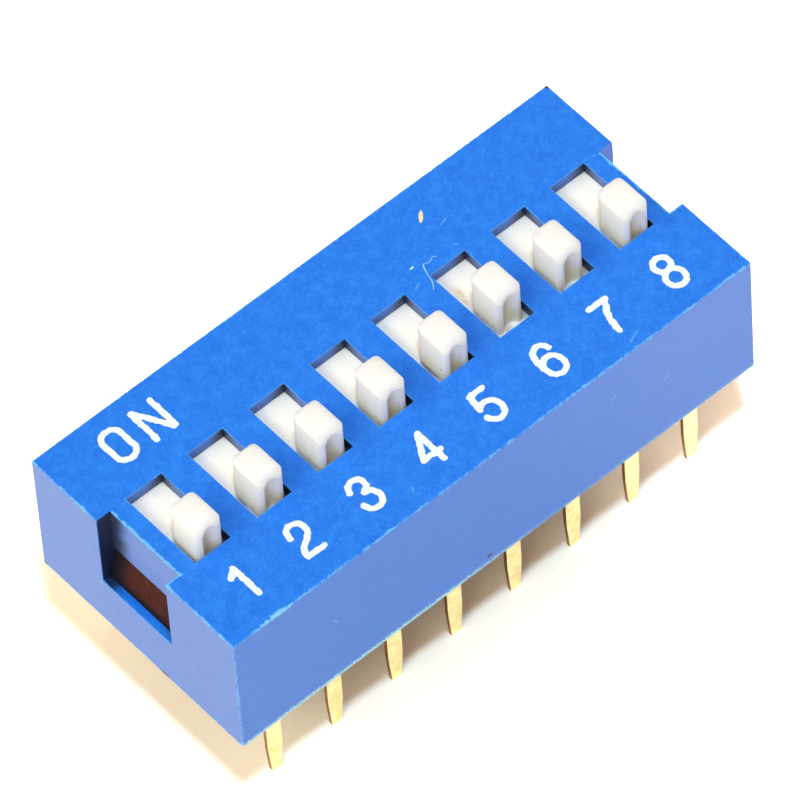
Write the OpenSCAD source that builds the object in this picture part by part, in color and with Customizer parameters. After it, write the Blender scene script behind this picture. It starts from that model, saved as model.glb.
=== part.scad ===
// Slide-type DIP switch for a circuit board: a moulded cover over a base with two rows of terminals,
// and one slider with a raised lever for each position.
// Millimetres. X runs along the row, with position 1 at -X. The ON side is +Y and the OFF side is -Y.
// Z = 0 is the rim that seats on the circuit board, and the origin is at the middle of that rim.

/* [Body] */
// Number of positions
positions = 8; // [2:1:12]
// Distance from one position to the next
pitch = 2.54; // [2.5:0.01:3]
// Length of the cover beyond the outer positions, at each end
end_margin = 0.69; // [0.6:0.01:1.5]
// Height of the cover above the circuit board
body_h = 5.5; // [5.2:0.05:6.5]
// Thickness of the cover's top
top_wall = 0.45; // [0.35:0.01:0.6]
// Thickness of the cover's long side walls
side_wall = 0.6; // [0.4:0.01:0.7]
// Radius of the cover's outer edges
edge_r = 0.06; // [0.03:0.01:0.2]

/* [Slots] */
// Width of each slot in the cover's top
slot_w = 1.46; // [1.3:0.01:1.6]
// Length of each slot
slot_l = 3.35; // [3.1:0.01:3.5]
// How far the middle of the slots and of the end notches lies towards the ON side
slot_shift = 0.04; // [-0.1:0.01:0.1]

/* [End notches] */
// Width of the notch in each end of the cover
notch_w = 3.35; // [2.5:0.01:4.5]
// Depth of the notch from the end face
notch_d = 0.57; // [0.4:0.01:0.65]
// Height of the notch, from the cover's top down to its ledge
notch_h = 3.3; // [2.9:0.01:3.5]
// Height of the window between the notch's back wall and its ledge
window_h = 1.32; // [0.9:0.01:1.6]

/* [Levers] */
// Width of a lever across its slot
lever_w = 1.08; // [0.9:0.01:1.2]
// Length of a lever along its slot
lever_l = 1.46; // [1.2:0.01:1.7]
// Height of a lever above the cover's top
lever_h = 1.38; // [0.8:0.01:2]
// Radius of a lever's top edge on the OFF side
lever_front_r = 0.48; // [0.05:0.01:0.6]
// Radius of a lever's top edge on the ON side
lever_back_r = 0.24; // [0.05:0.01:0.6]
// Radius of a lever's long top edges
lever_side_r = 0.16; // [0.05:0.01:0.3]
// Radius of a lever's upright edges on the OFF side
front_corner_r = 0.2; // [0.05:0.01:0.4]
// Radius of a lever's upright edges on the ON side
back_corner_r = 0.4; // [0.05:0.01:0.4]
// Width of the fingernail groove in a lever's OFF side
groove_w = 0.6; // [0.3:0.01:0.7]
// Depth of the groove
groove_d = 0.2; // [0.1:0.01:0.25]
// Distance from the groove's upper end to the lever's top
groove_drop = 0.22; // [0.1:0.01:0.5]

/* [Sliders] */
// Width of the plate that closes the slot from below
plate_w = 1.8; // [1.7:0.01:2]
// Thickness of the plate
plate_t = 0.6; // [0.4:0.01:0.8]
// How far the plate still laps under the cover beyond the slot's end
plate_lap = 0.2; // [0.1:0.01:0.3]
// Width of the carrier block under the plate
carrier_w = 1.24; // [1.1:0.01:1.3]
// Thickness of the carrier's end walls
carrier_wall = 0.2; // [0.15:0.01:0.3]
// Gap between the carrier's feet and the base
carrier_lift = 0.35; // [0.2:0.01:0.6]
// Thickness of the plate and carrier above the contact clip
clip_roof = 1.1; // [0.8:0.01:1.5]

/* [Contacts] */
// Thickness of the clip's strip
clip_t = 0.12; // [0.08:0.01:0.2]
// Width of the clip's strip
clip_w = 0.8; // [0.5:0.01:0.85]
// Distance between the clip's two contact points
clip_span = 2.6; // [2.4:0.01:2.8]
// How far the clip's rear contact point runs onto the rear pad at the ON stop
make_lap = 0.6; // [0.3:0.01:0.7]
// How far each end of the clip reaches beyond its contact point
clip_tail = 0.35; // [0.32:0.01:0.4]
// Slope of the clip's arms
clip_slope = 76; // [74:1:84]
// Slope of the clip's two ends
tail_slope = 45; // [30:1:60]
// Radius of the rounded contact points, along the middle of the strip
clip_tip_r = 0.26; // [0.2:0.01:0.32]
// Radius of the bend between the clip's arms and its back
clip_bend_r = 0.22; // [0.15:0.01:0.3]

/* [Terminals] */
// Distance between the two rows of pins
row_space = 7.62; // [7.5:0.01:8.5]
// How far the pins' outer faces lie inside the cover's sides
pin_inset = 0.99; // [0.85:0.01:1.5]
// Thickness of the terminal strip
lead_t = 0.15; // [0.12:0.01:0.3]
// Width of a pin
pin_w = 0.6; // [0.4:0.01:0.7]
// Width of a pin at its tip
pin_tip_w = 0.4; // [0.2:0.01:0.5]
// Length of a pin below the cover's rim
pin_l = 4.2; // [3:0.05:4.5]
// Length of the pin's tapered end
pin_taper = 1.3; // [0.5:0.05:2]
// Width of the terminal above its shoulders, and of its contact pad
pad_w = 1.0; // [0.9:0.01:1.2]
// Radius of the bend between pin and pad, along the middle of the strip
lead_bend_r = 0.3; // [0.2:0.01:0.4]
// Gap between the front and the rear contact pad of one position
pad_gap = 1.5; // [1.2:0.01:1.6]

/* [Base] */
// Thickness of the base's floor
floor_t = 1.35; // [1:0.01:1.5]
// How far the base's underside lies above the rim
floor_recess = 0.25; // [0.1:0.01:0.4]
// Height of the shoulders' seat above the base's underside
shoulder_h = 0.45; // [0.2:0.01:0.7]
// Thickness of the snap tongue at each end
tongue_t = 0.2; // [0.15:0.01:0.24]
// How far the tongue rises above the window
tongue_rise = 0.12; // [0.05:0.01:0.2]
// How far the foot of the tongue's sloping lug stands out from the notch's back wall
lug_out = 0.28; // [0.05:0.01:0.35]
// How far the top of the lug lies behind the notch's back wall
lug_inset = 0.04; // [0.02:0.01:0.1]

/* [Clearances] */
// Gap between the sliding plate and the cover's top
slide_gap = 0.05; // [0.03:0.01:0.1]
// Gap between a sliding plate and the ribs beside it
lane_gap = 0.08; // [0.05:0.01:0.15]
// Gap between a lever and its slot's end when it stands at its stop
stop_gap = 0.03; // [0.02:0.01:0.08]
// Gap round the base inside the cover, and round the tongues and lugs
base_fit = 0.03; // [0.02:0.01:0.06]
// Gap between the cover's ribs and the base
rib_gap = 0.05; // [0.02:0.01:0.1]
// Gap round a terminal in the base
lead_fit = 0.02; // [0.01:0.01:0.04]
// Gap on each side of the clip in its carrier
clip_fit = 0.02; // [0.01:0.01:0.04]
// Gap between the clip's contact points and the pads
touch_gap = 0.03; // [0.02:0.01:0.06]

/* [Hidden] */
$fn = 64;
cut = 1; // how far cutting shapes run past what they cut

cover_blue = [0.18, 0.48, 0.94];
base_brown = [0.30, 0.13, 0.12];
lever_white = [0.96, 0.95, 0.91];
contact_gold = [0.90, 0.70, 0.32];

// How far short of its OFF stop each lever stands
rest_play = [0, 0.08, 0.04, 0.02, 0, 0.3, 0.19, 0];

// How far each slider lies to one side of its lane, as a share of the gap beside it
rest_lean = [-0.6, 0.4, -0.2, -0.2, 0.6, 0.2, -0.5, 0.6];

body_l = positions * pitch + 2 * end_margin;
body_w = row_space + lead_t + 2 * pin_inset;

// Heights, from the circuit board up
floor_top = floor_recess + floor_t;
cavity_top = body_h - top_wall;
plate_top = cavity_top - slide_gap;
lever_top = body_h + lever_h;
roof_z = plate_top - clip_roof;
carrier_foot = floor_top + carrier_lift;
ledge_z = body_h - notch_h;
window_top = ledge_z + window_h;

// The cavity, with one lane for each slider
lane_w = plate_w + 2 * lane_gap;
cavity_w = body_w - 2 * side_wall;
cavity_l = (positions - 1) * pitch + lane_w;

// Along Y: the slot, the lever's travel and the plate that keeps the slot closed
slot_front = slot_shift - slot_l / 2;
slot_back = slot_front + slot_l;
lever_front = slot_front + stop_gap;
travel = slot_l - lever_l - 2 * stop_gap;
plate_front = slot_front - plate_lap - travel;
plate_back = slot_back + plate_lap;

// The groove in a lever's OFF side is part of a cylinder that ends in a ball
groove_r = (groove_w * groove_w / 4 + groove_d * groove_d) / (2 * groove_d);
groove_ball_z = lever_top - groove_drop - groove_w / 2;

// The contact pads' edges
pad_front_edge = slot_shift - pad_gap / 2;
pad_rear_edge = slot_shift + pad_gap / 2;

// The clip's middle when its lever is at the OFF stop, and half its length
clip_mid = pad_rear_edge + make_lap - travel - clip_span / 2;
clip_half = clip_span / 2 + clip_tail;

// The clip's strip, from the middle of its back to its contact point and end
clip_rise = roof_z - clip_fit - floor_top - touch_gap - clip_t;
clip_arm = (clip_rise - (clip_tip_r + clip_bend_r) * (1 - cos(clip_slope))) / sin(clip_slope);
clip_arm_reach = clip_arm * cos(clip_slope) + (clip_tip_r + clip_bend_r) * sin(clip_slope);
clip_end_run = (clip_tail - (clip_tip_r + clip_t / 2) * sin(tail_slope)) / cos(tail_slope);

// The terminal's strip
shoulder_z = floor_recess + shoulder_h;
pad_mid_z = floor_top - lead_t / 2;
reach_front = pad_front_edge + row_space / 2;
reach_rear = row_space / 2 - pad_rear_edge;

// The X of position i, and where its slider lies
function lane_x(i) = (i - (positions + 1) / 2) * pitch;
function play(i) = i <= len(rest_play) ? rest_play[i - 1] : 0;
function slider_x(i) = lane_x(i) + (i <= len(rest_lean) ? rest_lean[i - 1] * lane_gap : 0);

// A rectangle standing on the X axis, its two upper corners rounded with radii ra (left) and rb (right)
module arch(w, h, ra, rb) {
    translate([-w / 2, 0]) square([w, h - max(ra, rb)]);
    translate([-w / 2 + ra, 0]) square([w - ra - rb, h]);
    translate([-w / 2, 0]) square([ra, h - ra]);
    translate([w / 2 - rb, 0]) square([rb, h - rb]);
    translate([-w / 2 + ra, h - ra]) circle(ra);
    translate([w / 2 - rb, h - rb]) circle(rb);
}

// A rectangle with rounded corners: radius front towards -Y and radius back towards +Y
module rounded_rect(w, d, front, back) {
    arch(w, d / 2, back, back);
    mirror([0, 1]) arch(w, d / 2, front, front);
}

// Stands a drawing up in the YZ plane, w thick along X
module along_x(w) {
    rotate([90, 0, 90]) linear_extrude(w, center = true) children();
}

// Stands a drawing up in the XZ plane, d thick along Y
module along_y(d) {
    rotate([90, 0, 0]) linear_extrude(d, center = true) children();
}

// A block w x d x h with rounded top edges, side along its length and ends[0] and ends[1] at its -Y and
// +Y ends. Its upright edges have the radii corners[0] and corners[1] at the same two ends.
module soft_block(w, d, h, side, ends, corners) {
    intersection() {
        along_x(w + cut) arch(d, h, ends[0], ends[1]);
        along_y(d + cut) arch(w, h, side, side);
        linear_extrude(h + cut) rounded_rect(w, d, corners[0], corners[1]);
    }
}

// A quarter, or any part under half, of a ring: it starts at the origin heading along +X and turns by a
module ring_piece(t, r, a) {
    s = sign(a);
    reach = r + t;
    translate([0, s * r]) intersection() {
        difference() {
            circle(r + t / 2);
            circle(r - t / 2);
        }
        polygon([
            [0, 0],
            [0, -s * reach * 1.5],
            [reach * 1.5 * sin(abs(a) / 2), -s * reach * 1.5 * cos(a / 2)],
            [reach * 1.5 * sin(abs(a)), -s * reach * 1.5 * cos(a)]
        ]);
    }
}

// A bent strip t thick: each move is [straight length, bend radius, bend angle]
module ribbon(t, moves, i = 0) {
    if (i < len(moves)) {
        run = moves[i][0];
        r = moves[i][1];
        a = moves[i][2];
        translate([0, -t / 2]) square([run, t]);
        translate([run, 0]) {
            if (a != 0) ring_piece(t, r, a);
            translate([r * sin(abs(a)), sign(a) * r * (1 - cos(a))])
                rotate(a) ribbon(t, moves, i + 1);
        }
    }
}

// The cover: a shell with a lane and a slot for each slider, and a notch with a window in each end
module cover() {
    color(cover_blue) difference() {
        soft_block(body_l, body_w, body_h, edge_r, [edge_r, edge_r], [edge_r, edge_r]);
        translate([-cavity_l / 2, -cavity_w / 2, -cut])
            cube([cavity_l, cavity_w, cut + floor_top + rib_gap]);
        for (i = [1:positions]) translate([lane_x(i), 0, 0]) lane_and_slot();
        for (end = [0, 1]) mirror([end, 0, 0]) end_notch();
    }
}

module lane_and_slot() {
    translate([-lane_w / 2, -cavity_w / 2, 0]) cube([lane_w, cavity_w, cavity_top]);
    translate([-slot_w / 2, slot_front, cavity_top - slide_gap])
        cube([slot_w, slot_l, slide_gap + top_wall + cut]);
}

// What is cut from the +X end: the notch, its window and the groove for the base's tongue
module end_notch() {
    wall_in = cavity_l / 2;
    notch_front = slot_shift - notch_w / 2;
    groove_h = window_top + tongue_rise + base_fit;
    translate([body_l / 2 - notch_d, notch_front, ledge_z])
        cube([notch_d + cut, notch_w, notch_h + cut]);
    translate([wall_in, notch_front, ledge_z]) cube([body_l / 2 - wall_in, notch_w, window_h]);
    translate([wall_in - lane_gap, notch_front, -cut])
        cube([lane_gap + tongue_t + base_fit, notch_w, cut + groove_h]);
}

// The base: a floor with a seat for each terminal, and a snap tongue at each end
module base() {
    base_l = cavity_l - 2 * base_fit;
    base_w = cavity_w - 2 * base_fit;
    color(base_brown) difference() {
        union() {
            translate([-base_l / 2, -base_w / 2, floor_recess]) cube([base_l, base_w, floor_t]);
            for (end = [0, 1]) mirror([end, 0, 0]) tongue();
        }
        for (i = [1:positions]) translate([lane_x(i), 0, 0]) {
            terminal_seat(reach_front);
            mirror([0, 1, 0]) terminal_seat(reach_rear);
        }
    }
}

// The +X tongue: it rises in its groove in the end wall, and the foot of its sloping lug catches on the ledge
module tongue() {
    wall_in = cavity_l / 2;
    tongue_out = wall_in + tongue_t;
    notch_back = body_l / 2 - notch_d;
    translate([0, slot_shift, 0]) along_y(notch_w - 2 * base_fit) polygon([
        [wall_in - lane_w, floor_recess],
        [tongue_out, floor_recess],
        [tongue_out, ledge_z + base_fit],
        [notch_back + lug_out, ledge_z + base_fit],
        [notch_back - lug_inset, window_top - base_fit],
        [tongue_out, window_top - base_fit],
        [tongue_out, window_top + tongue_rise],
        [wall_in, window_top + tongue_rise],
        [wall_in, floor_top],
        [wall_in - lane_w, floor_top]
    ]);
}

// What a terminal needs cut from the base: the strip's own shape with its gap, and the way in from above
module terminal_seat(reach) {
    y_out = -row_space / 2 - lead_t / 2 - lead_fit;
    along_x(pad_w + 2 * lead_fit) {
        terminal_strip(reach, lead_fit);
        translate([y_out, pad_mid_z - lead_bend_r])
            square([lead_bend_r + lead_t / 2 + lead_fit, lead_bend_r + lead_t]);
    }
    translate([0, -row_space / 2, shoulder_z / 2])
        cube([pin_w + 2 * lead_fit, lead_t + 2 * lead_fit, shoulder_z + 2 * lead_fit], center = true);
}

// The terminal's strip in the YZ plane, from its shoulder up, round the bend and along its pad
module terminal_strip(reach, gap = 0) {
    rise = pad_mid_z - lead_bend_r - shoulder_z + gap;
    translate([-row_space / 2, shoulder_z - gap]) rotate(90)
        ribbon(lead_t + 2 * gap, [[rise, lead_bend_r, -90], [reach - lead_bend_r + gap, 0, 0]]);
}

// A terminal in one piece: contact pad, bend, shoulders and tapered pin
module terminal(reach) {
    color(contact_gold) {
        along_x(pad_w) terminal_strip(reach);
        translate([0, -row_space / 2, 0]) along_y(lead_t) polygon([
            [-pin_w / 2, pad_mid_z - lead_bend_r],
            [-pin_w / 2, pin_taper - pin_l],
            [-pin_tip_w / 2, -pin_l],
            [pin_tip_w / 2, -pin_l],
            [pin_w / 2, pin_taper - pin_l],
            [pin_w / 2, pad_mid_z - lead_bend_r]
        ]);
    }
}

module terminal_front(i) {
    translate([lane_x(i), 0, 0]) terminal(reach_front);
}

module terminal_rear(i) {
    translate([lane_x(i), 0, 0]) mirror([0, 1, 0]) terminal(reach_rear);
}

// A slider: the plate that closes the slot, the lever on it and the carrier under it
module slider(i) {
    color(lever_white) translate([slider_x(i), play(i), 0]) {
        difference() {
            union() {
                translate([-plate_w / 2, plate_front, plate_top - plate_t])
                    cube([plate_w, plate_back - plate_front, plate_t]);
                translate([0, lever_front + lever_l / 2, plate_top - plate_t])
                    soft_block(lever_w, lever_l, lever_top - plate_top + plate_t, lever_side_r,
                        [lever_front_r, lever_back_r], [front_corner_r, back_corner_r]);
            }
            lever_groove();
        }
        carrier();
    }
}

// What the fingernail groove takes out of a lever's OFF side
module lever_groove() {
    translate([0, lever_front - groove_r + groove_d, 0]) {
        translate([0, 0, plate_top]) cylinder(r = groove_r, h = groove_ball_z - plate_top);
        translate([0, 0, groove_ball_z]) sphere(groove_r);
    }
}

// The carrier: a box that is open below, with the contact clip inside
module carrier() {
    channel_w = clip_w + 2 * clip_fit;
    channel_l = 2 * (clip_half + clip_fit);
    carrier_l = channel_l + 2 * carrier_wall;
    translate([0, clip_mid, 0]) difference() {
        translate([-carrier_w / 2, -carrier_l / 2, carrier_foot])
            cube([carrier_w, carrier_l, plate_top - plate_t / 2 - carrier_foot]);
        translate([-channel_w / 2, -channel_l / 2, carrier_foot - cut])
            cube([channel_w, channel_l, roof_z - carrier_foot + cut]);
    }
}

// The contact clip: one strip whose two rounded points slide on the pads
module contact_clip(i) {
    color(contact_gold)
        translate([slider_x(i), play(i) + clip_mid, roof_z - clip_fit - clip_t / 2])
            along_x(clip_w)
                for (side = [0, 1]) mirror([side, 0]) ribbon(clip_t, [
                    [clip_span / 2 - clip_arm_reach, clip_bend_r, -clip_slope],
                    [clip_arm, clip_tip_r, clip_slope + tail_slope],
                    [clip_end_run, 0, 0]
                ]);
}

cover();
base();
for (i = [1:positions]) {
    slider(i);
    contact_clip(i);
    terminal_front(i);
    terminal_rear(i);
}
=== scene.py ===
"""An eight-lever dip switch: blue cover, white levers, gold pins, on a pale floor in soft light."""

import math

import bpy
from mathutils import Matrix, Vector, noise


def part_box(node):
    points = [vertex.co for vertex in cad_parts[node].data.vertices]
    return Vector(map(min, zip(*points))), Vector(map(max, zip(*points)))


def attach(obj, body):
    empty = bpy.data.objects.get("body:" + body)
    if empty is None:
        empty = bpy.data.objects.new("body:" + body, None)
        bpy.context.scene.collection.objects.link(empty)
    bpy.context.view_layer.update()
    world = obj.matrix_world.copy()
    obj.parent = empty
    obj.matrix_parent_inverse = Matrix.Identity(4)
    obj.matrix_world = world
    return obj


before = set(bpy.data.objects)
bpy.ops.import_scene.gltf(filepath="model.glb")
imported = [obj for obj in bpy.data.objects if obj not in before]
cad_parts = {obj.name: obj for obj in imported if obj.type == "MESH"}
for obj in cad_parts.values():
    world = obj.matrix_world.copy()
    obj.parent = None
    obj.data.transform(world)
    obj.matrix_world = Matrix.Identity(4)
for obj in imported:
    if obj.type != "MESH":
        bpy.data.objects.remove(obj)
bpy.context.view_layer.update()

# Sizes in millimetres, in the part's frame: X along the row, +Y towards ON, Z up. LEDGE is the
# height of the ledge in each end's notch, and LEVER_HEIGHT is above the cover.
MM = 0.001
POSITIONS = 8
COVER_LOW, COVER_HIGH = (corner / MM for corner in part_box("cover"))
TOP = COVER_HIGH.z
LEFT = COVER_LOW.x
FRONT = COVER_LOW.y
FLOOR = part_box("terminal_front_1")[0].z / MM
PITCH = 2.54
SLOT_WIDTH = 1.46
SLOT_LENGTH = 3.35
SLOT_MIDDLE = 0.04
NOTCH_WIDTH = 3.35
NOTCH_DEPTH = 0.57
NOTCH_BACK = LEFT + NOTCH_DEPTH
LEDGE = 2.2
LEVER_WIDTH = 1.08
LEVER_HEIGHT = 1.38


def lane(position):
    """The X of a position's lane, for positions 1 to 8."""
    return (position - (POSITIONS + 1) / 2) * PITCH


# ---------------------------------------------------------------- materials


class Nodes:
    """A tree of shader nodes, with short ways to add to it. Masks and factors run from 0 to 1."""

    def __init__(self, tree):
        self.tree = tree
        tree.nodes.clear()

    def add(self, kind, settings=(), inputs=()):
        """A new node, with its settings and what feeds its inputs."""
        node = self.tree.nodes.new("ShaderNode" + kind)
        for key, value in dict(settings).items():
            setattr(node, key, value)
        for key, value in dict(inputs).items():
            self.feed(node.inputs[key], value)
        return node

    def feed(self, socket, value):
        """Links an output to an input, or sets the input to a plain value."""
        if isinstance(value, bpy.types.NodeSocket):
            self.tree.links.new(value, socket)
        else:
            socket.default_value = value

    def vector(self, operation, first, second=None, scale=None):
        """The result of a vector operation."""
        node = self.add("VectorMath", {"operation": operation}, {0: first})
        if second is not None:
            self.feed(node.inputs[1], second)
        if scale is not None:
            self.feed(node.inputs["Scale"], scale)
        return node.outputs["Value" if operation in ("LENGTH", "DOT_PRODUCT") else "Vector"]

    def math(self, operation, *values):
        """The result of an operation on numbers."""
        return self.add("Math", {"operation": operation}, dict(enumerate(values))).outputs[0]

    def joined(self, x, y):
        """A vector from its X and Y."""
        return self.add("CombineXYZ", inputs={0: x, 1: y}).outputs[0]

    def parts(self, vector):
        """The X, Y and Z of a vector."""
        return tuple(self.add("SeparateXYZ", inputs={0: vector}).outputs)

    def ramp(self, value, low, high, start=0.0, end=1.0):
        """A smooth step of a value, from start at low to end at high."""
        inputs = {0: value, 1: low, 2: high, 3: start, 4: end}
        return self.add("MapRange", {"interpolation_type": "SMOOTHSTEP"}, inputs).outputs[0]

    def both(self, *masks):
        """The product of some masks."""
        product = masks[0]
        for mask in masks[1:]:
            product = self.math("MULTIPLY", product, mask)
        return product

    def either(self, *masks):
        """The largest of some masks or distances."""
        largest = masks[0]
        for mask in masks[1:]:
            largest = self.math("MAXIMUM", largest, mask)
        return largest

    def mix(self, factor, first, second):
        """A colour between two, from the first at 0 to the second at 1."""
        return self.add("Mix", {"data_type": "RGBA"}, {0: factor, 6: first, 7: second}).outputs[2]

    def show(self, kind, shader):
        """Sends a shader to the tree's output."""
        self.feed(self.add(kind).inputs["Surface"], shader)

    def seen(self):
        """1 for the rays that show the background: camera, glossy and transmission rays."""
        path = self.add("LightPath").outputs
        mirrored = self.either(path["Is Glossy Ray"], path["Is Transmission Ray"])
        return self.either(path["Is Camera Ray"], mirrored)


BUMP_STRENGTH = 0.3
BUMP_HEIGHT = 0.02
SHADE_SAMPLES = 12
# The part of a noise's range that is used, and how straight on a face has to look along an axis
NOISE_LOW, NOISE_HIGH = 0.25, 0.75
TILTED, STRAIGHT_ON = 0.6, 0.9
# A blob's edge, in its own sizes, and how fine its raggedness is; where a line starts to fade out
BLOB_EDGE = 1.1
BLOB_GRAIN = 1.4
LINE_END, LINE_SIDE = 0.7, 0.25


class Material(Nodes):
    """One node material. Positions in it are in millimetres, in the object's own frame."""

    def __init__(self, name):
        self.material = bpy.data.materials.new(name)
        self.material.use_nodes = True
        super().__init__(self.material.node_tree)
        self.coordinates = self.add("TexCoord").outputs
        self.place = self.vector("SCALE", self.coordinates["Object"], scale=1 / MM)
        self.x, self.y, self.z = self.parts(self.place)
        self.normal_x = self.parts(self.coordinates["Normal"])[0]

    def noise(self, scale, detail=2.0):
        """Noise of about 0 to 1, with features near 1 / scale millimetres."""
        inputs = {"Vector": self.place, "Scale": scale, "Detail": detail}
        return self.add("TexNoise", inputs=inputs).outputs["Fac"]

    def rough(self, value, scale, by):
        """A value with noise added, from -by to by."""
        return self.math("ADD", value, self.ramp(self.noise(scale, 3.0), NOISE_LOW, NOISE_HIGH, -by, by))

    def blob(self, centre, size, ragged=0.35, soft=0.3):
        """1 inside an ellipsoid with a ragged edge, 0 outside it; a larger soft fades it from further in."""
        away = self.vector("SUBTRACT", self.place, centre)
        reach = self.vector("LENGTH", self.vector("DIVIDE", away, size))
        reach = self.rough(reach, BLOB_GRAIN / min(size), ragged)
        return self.ramp(reach, BLOB_EDGE - soft, BLOB_EDGE, 1.0, 0.0)

    def line(self, start, end, width):
        """1 along a straight line on the surface, 0 beside it."""
        start, end = Vector(start), Vector(end)
        along = (end - start).normalized()
        away = self.vector("SUBTRACT", self.place, (start + end) / 2)
        run = self.vector("DOT_PRODUCT", away, along)
        beside = self.vector("SUBTRACT", away, self.vector("SCALE", along, scale=run))
        half = (end - start).length / 2
        inside = self.ramp(self.math("ABSOLUTE", run), half * LINE_END, half, 1.0, 0.0)
        close = self.ramp(self.vector("LENGTH", beside), width * LINE_SIDE, width, 1.0, 0.0)
        return self.both(inside, close)

    def edge_distance(self, low, high):
        """How far a point on a box is from the nearest edge of the box."""
        away = self.vector("ABSOLUTE", self.vector("SUBTRACT", self.place, (low + high) / 2))
        x, y, z = self.parts(self.vector("SUBTRACT", (high - low) / 2, away))
        least = self.math("MINIMUM", x, self.math("MINIMUM", y, z))
        most = self.either(x, self.either(y, z))
        total = self.math("ADD", x, self.math("ADD", y, z))
        return self.math("SUBTRACT", total, self.math("ADD", least, most))

    def facing(self, axis, amount=1.0):
        """The given amount on faces that look along an axis, 0 on the others."""
        along = self.math("ABSOLUTE", self.parts(self.coordinates["Normal"])[axis])
        return self.ramp(along, TILTED, STRAIGHT_ON, 0.0, amount)

    def shade(self, reach):
        """How open a point is out to a reach: from 0 in a closed corner to 1 in the open."""
        node = self.add("AmbientOcclusion", {"samples": SHADE_SAMPLES}, {"Distance": reach * MM})
        return node.outputs["AO"]

    def lane_x(self):
        """How far a point is from the middle of its lane, to +X."""
        return self.math("WRAP", self.math("SUBTRACT", self.x, PITCH / 2), PITCH / 2, -PITCH / 2)

    def along_slot(self):
        """How far a point is along Y from the middle of the slots and notches."""
        return self.math("ABSOLUTE", self.math("SUBTRACT", self.y, SLOT_MIDDLE))

    def slot_distance(self):
        """How far a point on the cover's top is from the nearest slot; below 0 inside a slot."""
        across = self.math("SUBTRACT", self.math("ABSOLUTE", self.lane_x()), SLOT_WIDTH / 2)
        beyond = self.math("SUBTRACT", self.math("ABSOLUTE", self.x), POSITIONS / 2 * PITCH)
        along = self.math("SUBTRACT", self.along_slot(), SLOT_LENGTH / 2)
        return self.either(across, beyond, along)

    def notch_distance(self):
        """How far a point on the cover is from the notches' top edges, which are left plain at +Y."""
        end = self.math("SUBTRACT", -NOTCH_BACK, self.math("ABSOLUTE", self.x))
        beside = self.either(end, self.math("SUBTRACT", self.along_slot(), NOTCH_WIDTH / 2))
        below = self.math("SUBTRACT", TOP, self.z)
        plain_end = self.math("SUBTRACT", self.y, SLOT_MIDDLE + NOTCH_WIDTH / 2 - 0.1)
        return self.either(self.math("ABSOLUTE", beside), below, plain_end)

    def ledge_distance(self):
        """How far a point on the cover is from the outer edges of the notches' ledges."""
        inward = self.math("SUBTRACT", -LEFT, self.math("ABSOLUTE", self.x))
        above = self.math("ABSOLUTE", self.math("SUBTRACT", self.z, LEDGE))
        return self.either(inward, above, self.math("SUBTRACT", self.along_slot(), NOTCH_WIDTH / 2))

    def finish(self, colour, roughness, height, **sockets):
        """The material, from its colour, roughness and relief, and any other sockets of its shader."""
        relief = {"Height": height, "Strength": BUMP_STRENGTH, "Distance": BUMP_HEIGHT * MM}
        normal = self.add("Bump", inputs=relief).outputs[0]
        inputs = {"Base Color": colour, "Roughness": roughness, "Normal": normal}
        for key, value in sockets.items():
            inputs[key.replace("_", " ")] = value
        self.show("OutputMaterial", self.add("BsdfPrincipled", inputs=inputs).outputs[0])
        return self.material


# Blue plastic
BLUE = (0.004, 0.178, 0.81, 1)
BLUE_FRESH = (0.010, 0.218, 0.88, 1)
BLUE_DEEP = (0.003, 0.143, 0.76, 1)
GRAIN_PALE = (0.03, 0.27, 0.93, 1)
GRAIN_DARK = (0.002, 0.115, 0.74, 1)
# Painted sheen: the upright faces toward Y and toward X are painted paler and greyer
FRONT_SHEEN_BLUE = (0.037, 0.21, 0.81, 1)
FRONT_SHEEN_MOTTLE = (0.09, 0.19, 0.68, 1)
END_SHEEN_BLUE = (0.098, 0.22, 0.66, 1)
END_SHEEN_MOTTLE = (0.19, 0.24, 0.64, 1)
CORNER_SHADE = (0.008, 0.02, 0.08, 1)
SLOT_SHADE = (0.004, 0.008, 0.035, 1)
NOTCH_SHADE = (0.004, 0.010, 0.035, 1)
WORN_AND_HIGHLIGHT = (0.15, 0.53, 0.98, 1)
FLASH = (0.38, 0.78, 0.95, 1)
CHIPPED = (0.24, 0.66, 0.98, 1)
SCRATCHED = (0.22, 0.56, 0.96, 1)
WELDED = (0.05, 0.34, 0.92, 1)
SPECKLED = (0.14, 0.45, 0.96, 1)
DARK_MARK = (0.01, 0.03, 0.12, 1)

# White plastic
WHITE_FRESH = (0.95, 0.945, 0.92, 1)
WHITE_DULL = (0.92, 0.91, 0.88, 1)
CROWN_SHADED_WHITE = (0.85, 0.86, 0.85, 1)
SIDE_WARM_LIGHT = (1.0, 0.92, 0.71, 1)
PLATE_LIT_WHITE = (0.99, 0.97, 0.91, 1)
GROOVE_SHADE = (0.34, 0.27, 0.24, 1)
STAIN_GOLD = (0.86, 0.62, 0.30, 1)
FOOT_BROWN = (0.26, 0.12, 0.09, 1)
SPECK_BROWN = (0.42, 0.33, 0.22, 1)
GAP_SHADE = (0.03, 0.03, 0.04, 1)
LANE_SHADE = (0.02, 0.02, 0.03, 1)

# Brown plastic, gold plating and ink
BROWN_DEEP = (0.050, 0.010, 0.007, 1)
BROWN_FRESH = (0.075, 0.017, 0.012, 1)
WINDOW_SHADE = (0.004, 0.004, 0.010, 1)
LEDGE_SHADE = (0.006, 0.006, 0.010, 1)
GOLD_BRIGHT = (0.93, 0.83, 0.45, 1)
GOLD_DULL = (0.84, 0.66, 0.29, 1)
SIDE_SHADE_BROWN = (0.36, 0.16, 0.05, 1)
INK_WHITE = (0.82, 0.91, 0.93, 1)
INK_THIN = (0.66, 0.82, 0.92, 1)

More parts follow.
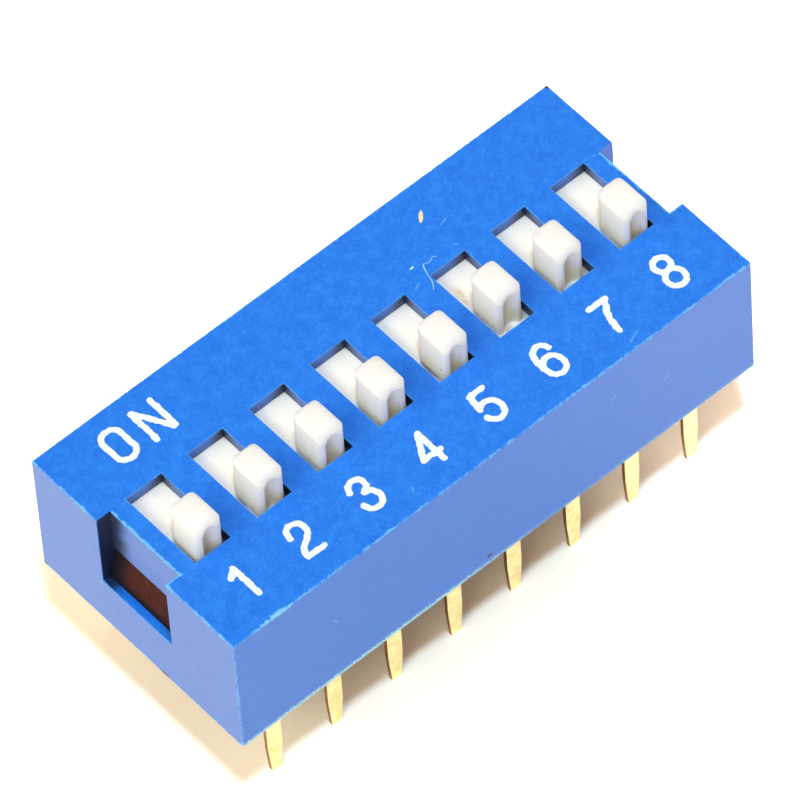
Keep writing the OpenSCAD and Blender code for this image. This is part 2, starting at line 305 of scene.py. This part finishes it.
# Marks on the cover: ends and width of each line, centre and size of each spot
DENT = ((-2.75, -4.05, TOP), (-2.87, -4.25, TOP), 0.05)
SCRATCH_WIDTH = 0.045
SCRATCHES = [
    ((5.9, -4.6, TOP), (6.5, -4.35, TOP)),
    ((4.6, 2.97, TOP), (5.0, 3.10, TOP)),
    ((4.44, 2.15, TOP), (4.55, 2.03, TOP)),
    ((2.35, 1.62, TOP), (2.65, 1.72, TOP)),
    ((4.80, FRONT, 3.72), (5.05, FRONT, 3.88)),
    ((4.86, FRONT, 3.40), (4.92, FRONT, 3.32)),
    ((7.00, FRONT, 2.74), (7.30, FRONT, 2.90)),
    ((-6.9, FRONT, 3.1), (-6.7, FRONT, 2.8)),
]
WELD_WIDTH = 0.05
WELD_LINE = [
    (9.55, 1.79, TOP), (9.97, 1.75, TOP), (10.27, 1.60, TOP), (10.32, 1.32, TOP), (10.29, 0.95, TOP),
]
DARK_SPOTS = [
    ((-0.5, FRONT, 0.4), (0.14, 0.1, 0.07)),
    ((LEFT, -1.1, 0.0), (0.1, 0.2, 0.12)),
    ((LEFT, 4.75, 0.0), (0.08, 0.12, 0.1)),
    ((10.8, 4.85, TOP), (0.12, 0.12, 0.1)),
]

# Marks on the sliders: centre, size, raggedness and softness of each
STAINS = [
    ((3.53, 0.85, 4.95), (0.17, 0.42, 0.3), 0.3, 1.0),
    ((3.46, 0.42, 4.95), (0.13, 0.32, 0.3), 0.25, 1.0),
    ((lane(5) + 0.47, -1.55, 6.45), (0.12, 0.16, 0.24), 0.15, 1.0),
]
# Dark brown marks along the left feet of levers 2 and 5
FOOT_MARKS = [
    ((lane(5) - 0.5, -0.75, 5.12), (0.2, 0.62, 0.15), 0.2, 0.6),
    ((lane(2) - 0.5, -0.6, 5.08), (0.2, 0.38, 0.1), 0.2, 0.6),
]
SPECKS = [
    ((lane(4) - LEVER_WIDTH / 2, -1.25, 5.52), (0.1, 0.06, 0.035)),
    ((lane(5) - LEVER_WIDTH / 2, -1.42, 5.73), (0.1, 0.045, 0.06)),
]


def blue_grain_and_sheen(m, grain):
    """The cover's blue, with blotches and fine grain, and greyer on its upright faces, where a paler blue is
    painted sheen.
    """
    colour = m.mix(m.ramp(m.noise(2.0, 4.0), 0.35, 0.65), BLUE, BLUE_FRESH)
    colour = m.mix(m.ramp(m.noise(5.0, 3.0), 0.35, 0.65, 0.45, 0.0), colour, BLUE_DEEP)
    colour = m.mix(m.ramp(grain, 0.55, 0.70, 0.0, 0.6), colour, GRAIN_PALE)
    colour = m.mix(m.ramp(grain, 0.28, 0.45, 0.5, 0.0), colour, GRAIN_DARK)
    # Painted sheen on the upright faces, with a random mottle in it
    colour = m.mix(m.facing(1, 0.75), colour, FRONT_SHEEN_BLUE)
    colour = m.mix(m.facing(0, 0.75), colour, END_SHEEN_BLUE)
    mottled = m.ramp(m.noise(12.0, 3.0), 0.42, 0.62, 0.0, 0.4)
    colour = m.mix(m.both(mottled, m.facing(0)), colour, END_SHEEN_MOTTLE)
    return m.mix(m.both(mottled, m.facing(1)), colour, FRONT_SHEEN_MOTTLE)


def paint_shade_in_corners(m, colour):
    """Paints shade into the corners, the far corner of each slot and the far side of the notch at -X."""
    # Painted shade in closed corners, except on faces that look toward +X
    closed = m.ramp(m.shade(1.6), 0.12, 0.65, 1.0, 0.0)
    colour = m.mix(m.both(closed, m.ramp(m.normal_x, 0.3, 0.7, 1.0, 0.0)), colour, CORNER_SHADE)

    below_top = m.ramp(m.z, TOP - 0.04, TOP - 0.02, 1.0, 0.0)
    inside = m.both(below_top, m.ramp(m.slot_distance(), 0.02, 0.06, 1.0, 0.0))
    slot_corner = (SLOT_WIDTH / 2, SLOT_MIDDLE + SLOT_LENGTH / 2, 0)
    away = m.vector("LENGTH", m.vector("SUBTRACT", m.joined(m.lane_x(), m.y), slot_corner))
    colour = m.mix(m.both(inside, m.ramp(away, 0.05, 0.75, 0.9, 0.0)), colour, SLOT_SHADE)

    in_notch = m.both(
        m.ramp(m.x, NOTCH_BACK + 0.08, NOTCH_BACK + 0.28, 1.0, 0.0),
        m.ramp(m.x, LEFT + 0.02, LEFT + 0.05),
        m.ramp(m.math("ABSOLUTE", m.y), 1.8, 2.0, 1.0, 0.0),
        m.ramp(m.z, TOP - 0.05, TOP - 0.02, 1.0, 0.0),
    )
    far_end = m.ramp(m.rough(m.y, 2.0, 0.15), 0.75, 1.5, 0.0, 0.93)
    return m.mix(m.both(in_notch, m.either(m.facing(1, 0.97), far_end)), colour, NOTCH_SHADE)


def edge_wear_and_highlight(m):
    """How pale a point is from the edges of the box, the notches, their ledges and the slots: partly wear,
    partly painted highlight.
    """
    # Pale edges: partly wear and flash, partly painted highlight along the edges
    box = m.rough(m.rough(m.edge_distance(COVER_LOW, COVER_HIGH), 5.0, 0.035), 13.0, 0.03)
    box_wear_and_highlight = m.both(m.ramp(box, 0.025, 0.065, 1.0, 0.0), m.ramp(m.noise(0.9, 2.0), 0.3, 0.6, 0.3, 0.85))
    notch = m.rough(m.rough(m.notch_distance(), 5.0, 0.035), 13.0, 0.03)
    ledge = m.rough(m.ledge_distance(), 6.0, 0.03)
    slot = m.ramp(m.rough(m.slot_distance(), 4.0, 0.03), 0.0, 0.045, 0.28, 0.0)
    return m.either(
        box_wear_and_highlight,
        m.ramp(notch, 0.035, 0.08, 0.9, 0.0),
        m.ramp(ledge, 0.02, 0.06, 0.35, 0.0),
        m.both(slot, m.ramp(m.z, TOP - 0.1, TOP)),
    )


def cover_marks(m, colour):
    """Adds the flash along the front's foot, a chip, scratches, a weld line, specks and dark spots."""
    flash = m.both(
        m.ramp(m.x, -3.0, 2.0, 1.0, 0.15),
        m.ramp(m.rough(m.rough(m.z, 9.0, 0.08), 25.0, 0.06), 0.09, 0.19, 1.0, 0.0),
        m.ramp(m.y, FRONT + 0.05, FRONT + 0.1, 1.0, 0.0),
    )
    colour = m.mix(flash, colour, FLASH)
    chip = m.blob((-9.0, FRONT, TOP), (0.5, 0.12, 0.09), 0.5)
    colour = m.mix(m.both(chip, 0.8), colour, CHIPPED)
    scratches = m.either(m.line(*DENT), *(m.line(start, end, SCRATCH_WIDTH) for start, end in SCRATCHES))
    colour = m.mix(m.both(scratches, 0.35), colour, SCRATCHED)
    weld = m.either(*(m.line(start, end, WELD_WIDTH) for start, end in zip(WELD_LINE, WELD_LINE[1:])))
    colour = m.mix(m.both(weld, 0.4), colour, WELDED)
    specks = m.ramp(m.noise(6.0, 1.0), 0.79, 0.82)
    colour = m.mix(m.both(specks, 0.25), colour, SPECKLED)
    return m.mix(m.either(*(m.blob(*spot) for spot in DARK_SPOTS)), colour, DARK_MARK)


def cover_material():
    """Blue moulded plastic: fine grain, pale edges of wear and flash with painted highlight, painted shade in
    the slots and corners, painted sheen on the upright faces, and a few marks.
    """
    m = Material("blue_plastic")
    grain = m.noise(15.0, 3.0)
    colour = paint_shade_in_corners(m, blue_grain_and_sheen(m, grain))
    colour = cover_marks(m, m.mix(edge_wear_and_highlight(m), colour, WORN_AND_HIGHLIGHT))
    return m.finish(colour, m.ramp(grain, 0.3, 0.7, 0.36, 0.46), m.noise(22.0, 4.0))


def lever_material():
    """White moulded plastic, with painted shade on its crown, grooves and gaps, painted warm light on its
    sides, painted light on its plates, and stains, specks and dark brown marks at the feet of some levers.
    """
    m = Material("white_plastic")
    colour = m.mix(m.ramp(m.noise(2.5, 3.0), 0.35, 0.7), WHITE_FRESH, WHITE_DULL)
    # Painted shade on the crown, which gets the most light
    colour = m.mix(m.ramp(m.z, TOP + 1.0, TOP + LEVER_HEIGHT, 0.0, 0.9), colour, CROWN_SHADED_WHITE)
    # Painted warm light on the upright faces, strongest at the foot
    sides = m.both(m.either(m.facing(0), m.facing(1)), m.ramp(m.z, TOP - 0.3, TOP + 0.9, 1.0, 0.6))
    colour = m.mix(sides, colour, SIDE_WARM_LIGHT)
    # Painted light: the plate is painted whiter than the lever, against the dim light in the slots
    colour = m.mix(m.ramp(m.z, TOP - 0.4, TOP - 0.2, 1.0, 0.0), colour, PLATE_LIT_WHITE)
    # Painted shade on the left side of the groove in each lever's front
    groove_shade = m.both(
        m.ramp(m.lane_x(), -0.27, -0.22),
        m.ramp(m.lane_x(), -0.14, 0.26, 1.0, 0.0),
        m.ramp(m.z, TOP + 0.55, TOP + 0.95, 1.0, 0.0),
        m.ramp(m.y, -1.1, -0.9, 1.0, 0.0),
    )
    colour = m.mix(m.both(groove_shade, 0.45), colour, GROOVE_SHADE)
    for marks, strength, mark_colour in (
        (STAINS, 0.65, STAIN_GOLD), (FOOT_MARKS, 0.6, FOOT_BROWN), (SPECKS, 0.8, SPECK_BROWN),
    ):
        colour = m.mix(m.both(m.either(*(m.blob(*mark) for mark in marks)), strength), colour, mark_colour)
    gap = m.both(
        m.ramp(m.lane_x(), LEVER_WIDTH / 2 - 0.12, LEVER_WIDTH / 2 - 0.04),
        m.ramp(m.z, TOP - 0.15, TOP + 0.05, 1.0, 0.0),
        m.ramp(m.shade(0.8), 0.05, 0.35, 0.9, 0.0),
    )
    colour = m.mix(gap, colour, GAP_SHADE)
    # The plate's strip at +X of each lever, except at levers 6 and 7, where the photo shows it lit
    from_6_and_7 = m.math("ABSOLUTE", m.math("SUBTRACT", m.x, (lane(6) + lane(7)) / 2))
    strip = m.both(
        m.ramp(m.lane_x(), LEVER_WIDTH / 2 - 0.1, LEVER_WIDTH / 2),
        m.ramp(m.z, TOP - 0.3, TOP - 0.2, 1.0, 0.0),
        m.ramp(m.y, -0.4, 0.0, 1.0, 0.0),
        m.ramp(from_6_and_7, 2.3, 2.5),
    )
    colour = m.mix(m.both(strip, 0.95), colour, LANE_SHADE)
    glow = {
        "Subsurface_Weight": m.ramp(m.z, TOP - 0.5, TOP - 0.3),
        "Subsurface_Radius": (1.0, 0.95, 0.9),
        "Subsurface_Scale": 1.0 * MM,
    }
    return m.finish(colour, m.ramp(m.noise(9.0), 0.3, 0.7, 0.38, 0.5), m.noise(16.0, 3.0), **glow)


def base_material():
    """Dark red-brown moulded plastic, with painted shade at the far side of the window at -X and above the
    ledges.
    """
    m = Material("brown_plastic")
    colour = m.mix(m.ramp(m.noise(6.0, 4.0), 0.35, 0.7), BROWN_DEEP, BROWN_FRESH)
    # Painted shade at the far side of the window and above the ledges
    in_window = m.ramp(m.x, -9.8, -9.5, 1.0, 0.0)
    far_side = m.ramp(m.rough(m.y, 2.0, 0.15), 0.65, 1.4, 0.0, 0.93)
    colour = m.mix(m.both(in_window, far_side), colour, WINDOW_SHADE)
    foot = m.both(
        m.ramp(m.math("ABSOLUTE", m.x), 9.5, 9.8),
        m.ramp(m.z, LEDGE - 0.2, LEDGE - 0.1),
        m.ramp(m.rough(m.z, 5.0, 0.05), LEDGE + 0.08, LEDGE + 0.42, 0.95, 0.0),
    )
    colour = m.mix(foot, colour, LEDGE_SHADE)
    rough = m.ramp(m.noise(9.0), 0.3, 0.7, 0.55, 0.7)
    return m.finish(colour, rough, m.noise(18.0, 3.0), Specular_IOR_Level=0.08)


def gold_material():
    """Gold plating, with painted shade in dark brown on the faces that look along X, its narrow sides."""
    m = Material("gold_plating")
    colour = m.mix(m.ramp(m.noise(4.0, 3.0), 0.35, 0.75), GOLD_BRIGHT, GOLD_DULL)
    # Painted shade on the faces that look along X
    colour = m.mix(m.facing(0), colour, SIDE_SHADE_BROWN)
    return m.finish(colour, m.ramp(m.noise(8.0, 3.0), 0.3, 0.7, 0.28, 0.42), m.noise(10.0, 3.0), Metallic=1.0)


def ink_material():
    """White printing ink over blue plastic."""
    m = Material("white_ink")
    colour = m.mix(m.ramp(m.noise(7.0, 3.0), 0.4, 0.75), INK_WHITE, INK_THIN)
    return m.finish(colour, m.ramp(m.noise(9.0), 0.3, 0.7, 0.4, 0.55), m.noise(20.0, 3.0))


COVER = cover_material()
WHITE = lever_material()
BROWN = base_material()
GOLD = gold_material()
INK = ink_material()

finishes = {"cover": COVER, "base": BROWN, "slider": WHITE, "contact": GOLD, "terminal": GOLD}
for name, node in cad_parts.items():
    node.material_slots[0].material = finishes[name.split("_")[0]]


# ---------------------------------------------------------------- pieces


def add_object(name, data):
    """A new object in the scene."""
    made = bpy.data.objects.new(name, data)
    bpy.context.scene.collection.objects.link(made)
    return made


def piece(name, vertices, faces, material, smooth=False):
    """A mesh piece on the housing, from points in millimetres."""
    mesh = bpy.data.meshes.new(name)
    mesh.from_pydata([Vector(v) * MM for v in vertices], [], faces)
    mesh.polygons.foreach_set("use_smooth", [smooth] * len(mesh.polygons))
    mesh.materials.append(material)
    mesh.update()
    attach(add_object(name, mesh), "housing")


def smooth_path(points, steps=6):
    """A smooth (Catmull-Rom) line through a list of points; a point given twice stays a corner."""
    path = []
    for i in range(len(points) - 1):
        a, b = Vector(points[i]), Vector(points[i + 1])
        if a == b:
            continue
        before = Vector(points[i - 1]) if i else a
        after = Vector(points[i + 2]) if i + 2 < len(points) else b
        for k in range(steps):
            t = k / steps
            path.append(
                0.5 * (2 * a + (b - before) * t + (2 * before - 5 * a + 4 * b - after) * t * t
                       + (3 * a - before - 3 * b + after) * t ** 3)
            )
    return path + [Vector(points[-1])]


def far_from(point, path):
    """The distance from a point to a line of straight runs."""
    least = 1e9
    for a, b in zip(path, path[1:]):
        run = b - a
        along = max(0.0, min(1.0, (point - a).dot(run) / max(run.length_squared, 1e-12)))
        least = min(least, (point - a - run * along).length)
    return least


# The ink: the grid that its outline is found on, half its thickness, and the strokes' width
INK_STEP = 0.035
INK_FILM = 0.012
INK_WIDTH = 0.213
# How far its outline strays, and the scale, seed and amount of each noise that makes it stray
INK_RAGGED = 0.034
INK_NOISES = ((7, 0, 1.0), (15, 5, 0.5))


def printed(name, strokes):
    """A printed sign: a thin film of ink with the outline of its strokes, a little ragged."""
    paths = [smooth_path(s) for s in strokes]
    points = [p for path in paths for p in path]
    x0, x1 = min(p.x for p in points) - INK_WIDTH, max(p.x for p in points) + INK_WIDTH
    y0, y1 = min(p.y for p in points) - INK_WIDTH, max(p.y for p in points) + INK_WIDTH
    columns, rows = int((x1 - x0) / INK_STEP) + 1, int((y1 - y0) / INK_STEP) + 1

    def depth(i, j):
        """How deep in the ink a point of the grid is; below 0 outside it."""
        p = Vector((x0 + i * INK_STEP, y0 + j * INK_STEP))
        rough = 0
        for scale, seed, amount in INK_NOISES:
            rough += amount * noise.noise(Vector((p.x * scale, p.y * scale, seed)))
        return INK_WIDTH / 2 + INK_RAGGED * rough - min(far_from(p, path) for path in paths)

    field = [[depth(i, j) for j in range(rows + 1)] for i in range(columns + 1)]
    flat, index, cells = [], {}, []

    def corner(i, j):
        """The number of the vertex at a point of the grid."""
        if (i, j) not in index:
            index[i, j] = len(flat)
            flat.append((x0 + i * INK_STEP, y0 + j * INK_STEP))
        return index[i, j]

    def crossing(a, b):
        """The number of the vertex where the outline crosses between two points of the grid."""
        key = (min(a, b), max(a, b))
        if key not in index:
            (i0, j0), (i1, j1) = key
            f0, f1 = field[i0][j0], field[i1][j1]
            t = f0 / (f0 - f1)
            index[key] = len(flat)
            flat.append((x0 + (i0 + (i1 - i0) * t) * INK_STEP, y0 + (j0 + (j1 - j0) * t) * INK_STEP))
        return index[key]

    for i in range(columns):
        for j in range(rows):
            ring = [(i, j), (i + 1, j), (i + 1, j + 1), (i, j + 1)]
            cell = []
            for k, a in enumerate(ring):
                b = ring[(k + 1) % 4]
                if field[a[0]][a[1]] > 0:
                    cell.append(corner(*a))
                if (field[a[0]][a[1]] > 0) != (field[b[0]][b[1]] > 0):
                    cell.append(crossing(a, b))
            if len(cell) > 2:
                cells.append(cell)
    count = len(flat)
    vertices = [(x, y, TOP + INK_FILM) for x, y in flat] + [(x, y, TOP - INK_FILM) for x, y in flat]
    edges = {(a, b) for cell in cells for a, b in zip(cell, cell[1:] + cell[:1])}
    rim = [(a, b) for a, b in edges if (b, a) not in edges]
    under = [[k + count for k in reversed(cell)] for cell in cells]
    walls = [[b, a, a + count, b + count] for a, b in rim]
    piece(name, vertices, cells + under + walls, INK)


# The points on each round corner and on each closed ring
CORNER_STEPS = 5
RING_STEPS = 20


def rounded_loop(x0, x1, y0, y1, radius):
    """The closed outline of a rectangle with round corners."""
    corners = ((x1, y1, 0), (x0, y1, 90), (x0, y0, 180), (x1, y0, 270))
    loop = []
    for x, y, start in corners:
        cx, cy = x - math.copysign(radius, x - (x0 + x1) / 2), y - math.copysign(radius, y - (y0 + y1) / 2)
        for k in range(CORNER_STEPS + 1):
            angle = math.radians(start + 90 * k / CORNER_STEPS)
            loop.append((cx + radius * math.cos(angle), cy + radius * math.sin(angle)))
    return loop + [loop[0]]


def ring_path(cx, cy, rx, ry):
    """The closed outline of an ellipse."""
    angles = [2 * math.pi * k / RING_STEPS for k in range(RING_STEPS)]
    loop = [(cx + rx * math.cos(angle), cy + ry * math.sin(angle)) for angle in angles]
    return loop + [loop[0]]


def straight(*points):
    """Points given twice, so that the line keeps its corners."""
    return [p for p in points for _ in range(2)]


# Strokes, in X and Y
printed("letter_O", [rounded_loop(-8.80, -8.07, 2.80, 4.10, 0.34)])
printed("letter_N", [
    straight((-7.40, 2.80), (-7.40, 4.08)),
    straight((-7.36, 4.08), (-6.66, 2.82)),
    straight((-6.60, 2.85), (-6.60, 4.10)),
])
printed("digit_1", [
    straight((-8.90, -2.57), (-8.90, -3.85)),
    straight((-9.20, -2.84), (-8.93, -2.72)),
    straight((-9.14, -2.80), (-8.93, -2.64)),
])
printed("digit_2", [
    [(-6.86, -2.98), (-6.78, -2.68), (-6.53, -2.57), (-6.28, -2.70), (-6.23, -2.92), (-6.30, -3.14),
     (-6.48, -3.32), (-6.74, -3.50), (-6.86, -3.72), (-6.87, -3.87)],
    straight((-6.87, -3.87), (-6.23, -3.87)),
])
printed("digit_3", [
    [(-4.35, -2.93), (-4.24, -2.69), (-4.00, -2.62), (-3.80, -2.70), (-3.74, -2.88), (-3.80, -3.08),
     (-4.00, -3.21)],
    [(-4.00, -3.21), (-3.78, -3.28), (-3.67, -3.50), (-3.72, -3.76), (-3.98, -3.92), (-4.24, -3.82),
     (-4.35, -3.58)],
])
printed("digit_4", [
    straight((-1.30, -2.65), (-1.83, -3.56), (-1.13, -3.57)),
    straight((-1.30, -2.65), (-1.30, -3.93)),
])
printed("digit_5", [
    straight((1.35, -2.70), (0.83, -2.70), (0.75, -3.31)),
    [(0.75, -3.31), (0.88, -3.20), (1.08, -3.17), (1.31, -3.30), (1.40, -3.58), (1.32, -3.84), (1.08, -3.97),
     (0.84, -3.88), (0.72, -3.67)],
])
printed("digit_6", [
    [(3.94, -2.96), (3.84, -2.76), (3.64, -2.69), (3.42, -2.78), (3.32, -3.02), (3.28, -3.42), (3.35, -3.82),
     (3.62, -4.00), (3.88, -3.88), (3.97, -3.58), (3.86, -3.30), (3.62, -3.20), (3.43, -3.28), (3.30, -3.46)],
])
printed("digit_7", [
    straight((5.83, -2.75), (6.51, -2.75)),
    [(6.51, -2.75), (6.51, -2.75), (6.26, -3.12), (6.10, -3.50), (6.02, -3.98)],
])
printed("digit_8", [ring_path(8.72, -3.00, 0.29, 0.30), ring_path(8.72, -3.66, 0.33, 0.36)])


def dust_material(name, pale, dark, scale):
    """A mottled speck of dust or fibre, with painted shade towards the cover it lies on."""
    m = Material(name)
    colour = m.mix(m.ramp(m.noise(scale, 3.0), 0.35, 0.65), pale, dark)
    # Painted shade where the speck meets the cover
    colour = m.mix(m.ramp(m.z, TOP, TOP + 0.03, 1.0, 0.0), colour, dark)
    return m.finish(colour, m.ramp(m.noise(scale), 0.3, 0.7, 0.5, 0.7), m.noise(20.0, 3.0))


# The fibre's sides, its points for each one given, and, in radii, its thin ends and its axis's height
FIBRE_SIDES = 8
FIBRE_STEPS = 8
FIBRE_END = 0.45
FIBRE_LIFT = 0.8


def fibre(name, points, radius, material):
    """A thin hair that lies on the cover, round in section and thin at both ends."""
    path = smooth_path(points, FIBRE_STEPS)
    vertices, faces = [], []
    for i, point in enumerate(path):
        run = (path[min(i + 1, len(path) - 1)] - path[max(i - 1, 0)]).normalized()
        beside = Vector((run.y, -run.x))
        share = i / (len(path) - 1)
        here = radius * (FIBRE_END + (1 - FIBRE_END) * math.sin(math.pi * share) ** 0.5)
        for k in range(FIBRE_SIDES):
            angle = 2 * math.pi * k / FIBRE_SIDES
            flat = point + beside * here * math.cos(angle)
            vertices.append((flat.x, flat.y, TOP + radius * FIBRE_LIFT + here * math.sin(angle)))
    for i in range(len(path) - 1):
        for k in range(FIBRE_SIDES):
            a, b = i * FIBRE_SIDES + k, i * FIBRE_SIDES + (k + 1) % FIBRE_SIDES
            faces.append((a + FIBRE_SIDES, b + FIBRE_SIDES, b, a))
    faces.append(tuple(range(FIBRE_SIDES)))
    faces.append(tuple(reversed(range(len(vertices) - FIBRE_SIDES, len(vertices)))))
    piece(name, vertices, faces, material, smooth=True)


# How far a flake's outline strays, in how many lobes, how far it is sunk, and how square its dome is
FLAKE_RAGGED = 0.22
FLAKE_LOBES = 1.7
FLAKE_SUNK = 0.004
DOME_POWER = 2.6


def flake(name, start, end, width, height, material, rings=7, sides=22):
    """A small ragged flake that lies on the cover: a low dome with a flat underside."""
    start, end = Vector(start), Vector(end)
    middle, along = (start + end) / 2, (end - start) / 2
    beside = Vector((-along.y, along.x)).normalized() * width / 2
    vertices = [(middle.x, middle.y, TOP + height)]
    for r in range(1, rings + 1):
        share = r / rings
        for k in range(sides):
            angle = 2 * math.pi * k / sides
            sample = Vector((math.cos(angle) * FLAKE_LOBES, math.sin(angle) * FLAKE_LOBES, start.x))
            ragged = 1 + FLAKE_RAGGED * noise.noise(sample)
            flat = middle + (along * math.cos(angle) + beside * math.sin(angle)) * share * ragged
            dome = height * math.sqrt(max(0.0, 1 - share ** DOME_POWER))
            vertices.append((flat.x, flat.y, TOP - FLAKE_SUNK + dome))
    faces = [(0, 1 + k, 1 + (k + 1) % sides) for k in range(sides)]
    for r in range(rings - 1):
        for k in range(sides):
            a, b = 1 + r * sides + k, 1 + r * sides + (k + 1) % sides
            faces.append((a, a + sides, b + sides, b))
    faces.append(tuple(reversed(range(1 + (rings - 1) * sides, 1 + rings * sides))))
    piece(name, vertices, faces, material, smooth=True)


FIBRE = dust_material("pale_fibre", (0.30, 0.62, 0.95, 1), (0.12, 0.40, 0.91, 1), 3.0)
FLAKE = dust_material("tan_flake", (1.0, 0.92, 0.76, 1), (0.90, 0.66, 0.32, 1), 5.0)
LINT = dust_material("white_lint", (0.93, 0.96, 0.98, 1), (0.62, 0.80, 0.95, 1), 6.0)

fibre(
    "dust_fibre",
    [(2.77, 1.20), (2.95, 1.45), (3.04, 1.80), (3.19, 2.16), (3.40, 2.11), (3.61, 2.20), (3.70, 2.11)],
    0.028,
    FIBRE,
)
flake("dust_flake", (4.24, 3.46), (4.56, 3.86), 0.17, 0.05, FLAKE)
flake("dust_lint", (2.76, 2.33), (2.94, 2.34), 0.075, 0.03, LINT, rings=4, sides=14)


# ---------------------------------------------------------------- floor, light, camera

# The floor's side in metres, its two greys, and the light added where it is seen, left and right
FLOOR_SIZE = 3.0
FLOOR_GREY = (0.90, 0.90, 0.90, 1)
FLOOR_PALE = (0.92, 0.92, 0.92, 1)
MORE_LEFT = (0.44, 0.36, 0.19, 1)
MORE_RIGHT = (1.00, 0.88, 0.72, 1)

# The key light is a sun; the fill is the world, from the left, the right, the front and all round
KEY_DIRECTION = Vector((-0.16, -0.28, 0.947))
KEY_COLOUR = (0.56, 0.765, 0.98)
KEY_STRENGTH = 1.75
KEY_ANGLE = 5.0
FILL_LEFT = (5.1, 4.65, 3.6, 1)
FILL_RIGHT = (3.9, 3.6, 3.0, 1)
FILL_FRONT = (0.50, 0.31, 0.15, 1)
FILL_ROUND = (0.10, 0.07, 0.045, 1)

# The camera's aim and distance in millimetres, its direction in degrees, and its lens
CAMERA_AIM = Vector((1.601, 1.864, 0.0))
CAMERA_DISTANCE = 345.5
CAMERA_AZIMUTH = 37.63
CAMERA_ELEVATION = 54.103
CAMERA_ROLL = -4.475
CAMERA_LENS = 484.6
CAMERA_SENSOR = 36
CAMERA_NEAR = 0.01
CAMERA_FAR = 10


def floor_material():
    """A pale floor. The rays that show it see it brighter than the plain floor that lights the part, and
    brighter towards +X as painted light.
    """
    m = Material("white_floor")
    colour = m.mix(m.ramp(m.noise(0.4), 0.3, 0.7), FLOOR_GREY, FLOOR_PALE)
    plain = m.add("BsdfDiffuse", inputs={"Color": colour}).outputs[0]
    # Painted light: the seen floor is lighter towards +X
    more = m.mix(m.ramp(m.x, 2.0, 13.0), MORE_LEFT, MORE_RIGHT)
    added = m.add("BsdfDiffuse", inputs={"Color": more}).outputs[0]
    bright = m.add("AddShader", inputs={0: added, 1: plain}).outputs[0]
    m.show("OutputMaterial", m.add("MixShader", inputs={0: m.seen(), 1: plain, 2: bright}).outputs[0])
    return m.material


def lay_floor():
    """A plain square floor that the pins stand on."""
    mesh = bpy.data.meshes.new("floor")
    half, z = FLOOR_SIZE / 2, FLOOR * MM
    corners = [(-half, -half, z), (half, -half, z), (half, half, z), (-half, half, z)]
    mesh.from_pydata(corners, [], [(0, 1, 2, 3)])
    mesh.materials.append(floor_material())
    add_object("floor", mesh)


def studio_world():
    """A warm, soft light on each side in a dim studio. The rays that show its lower part see white."""
    world = bpy.data.worlds.new("studio")
    world.use_nodes = True
    w = Nodes(world.node_tree)
    x, _, z = w.parts(w.add("TexCoord").outputs["Generated"])
    high = w.both(w.ramp(z, 0.35, 0.6), w.ramp(z, 0.8, 0.95, 1.0, 0.0))
    colour = w.mix(w.ramp(x, -0.7, -0.4, 1.0, 0.0), FILL_FRONT, FILL_LEFT)
    colour = w.mix(w.ramp(x, 0.55, 0.85), colour, FILL_RIGHT)
    fill = w.add("Background", inputs={"Color": w.mix(high, FILL_ROUND, colour)}).outputs[0]
    white = w.add("Background", inputs={"Color": (1, 1, 1, 1)}).outputs[0]
    backdrop = w.both(w.ramp(z, 0.15, 0.6, 1.0, 0.0), w.seen())
    w.show("OutputWorld", w.add("MixShader", inputs={0: backdrop, 1: fill, 2: white}).outputs[0])
    return world


def hang_key():
    """The key light, a pale blue sun."""
    lamp = bpy.data.lights.new("key", "SUN")
    lamp.color = KEY_COLOUR
    lamp.energy = KEY_STRENGTH
    lamp.angle = math.radians(KEY_ANGLE)
    key = add_object("key", lamp)
    key.rotation_mode = "QUATERNION"
    key.rotation_quaternion = KEY_DIRECTION.to_track_quat("Z", "Y")


def set_camera():
    """The camera at the photo's view, from the front and the left, turned a little about its axis."""
    azimuth, elevation, roll = (math.radians(a) for a in (CAMERA_AZIMUTH, CAMERA_ELEVATION, CAMERA_ROLL))
    forward = Vector((
        math.sin(azimuth) * math.cos(elevation),
        math.cos(azimuth) * math.cos(elevation),
        -math.sin(elevation),
    ))
    level = forward.cross(Vector((0, 0, 1))).normalized()
    upright = level.cross(forward)
    right = level * math.cos(roll) + upright * math.sin(roll)
    up = upright * math.cos(roll) - level * math.sin(roll)
    optics = bpy.data.cameras.new("camera")
    optics.lens = CAMERA_LENS
    optics.sensor_width = CAMERA_SENSOR
    optics.clip_start = CAMERA_NEAR
    optics.clip_end = CAMERA_FAR
    camera = add_object("camera", optics)
    turn = Matrix((right, up, -forward)).transposed().to_4x4()
    camera.matrix_world = Matrix.Translation((CAMERA_AIM - forward * CAMERA_DISTANCE) * MM) @ turn
    bpy.context.scene.camera = camera


lay_floor()
bpy.context.scene.world = studio_world()
hang_key()
set_camera()
bpy.context.scene.view_settings.view_transform = "Standard"
